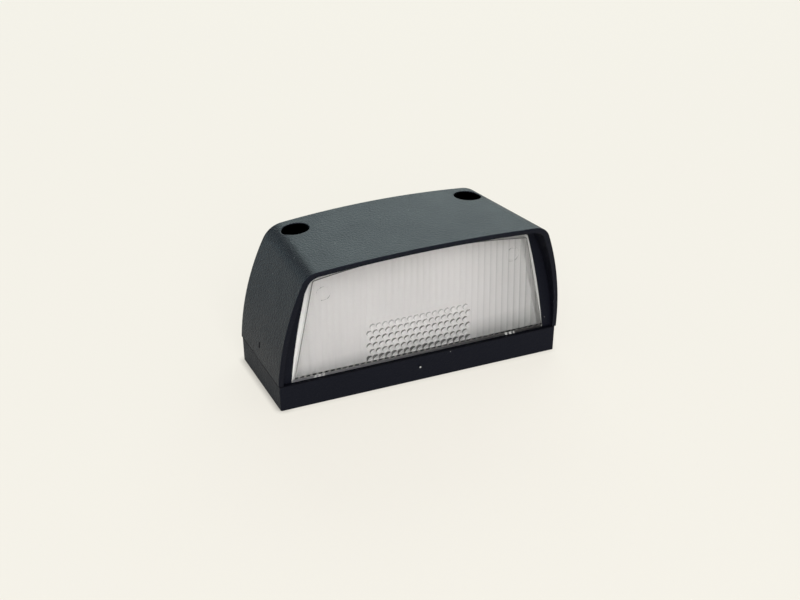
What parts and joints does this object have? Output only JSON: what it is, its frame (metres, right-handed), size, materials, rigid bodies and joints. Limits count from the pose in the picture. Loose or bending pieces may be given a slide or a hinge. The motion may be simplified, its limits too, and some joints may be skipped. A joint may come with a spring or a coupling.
{
  "type": "number plate lamp",
  "caption": "Black arched number plate lamp: a hood with a leaning visor and deep screw wells on a low base tray, and a clear fluted and beaded lens that throws light sideways onto a plate.",
  "frame": {"origin": "middle of the base's underside, the face that lies on the panel", "axes": "+X across the lamp, lens facing -Y, +Z away from the panel"},
  "size_m": [0.1006, 0.045, 0.0514],
  "materials": {
    "black_plastic": "fine moulded grain",
    "clear_plastic": "clear, polished outside, fluted and beaded inside",
    "rubber": "plain",
    "white_plastic": "satin",
    "bulb_glass": "clear",
    "bulb_cap": "nickel plated",
    "filament": "drawn wire",
    "plated_steel": "zinc plated strip"
  },
  "bodies": {
    "root": {"base": "black_plastic", "hood": "black_plastic", "lens": "clear_plastic", "lens_seal": "rubber", "reflector": "white_plastic", "bulb_glass": "bulb_glass", "bulb_cap_left": "bulb_cap", "bulb_cap_right": "bulb_cap", "bulb_filament": "filament", "contact_left": "plated_steel", "contact_right": "plated_steel", "contact_rivets": "plated_steel", "cable_grommet": "rubber"}
  },
  "joints": []
}
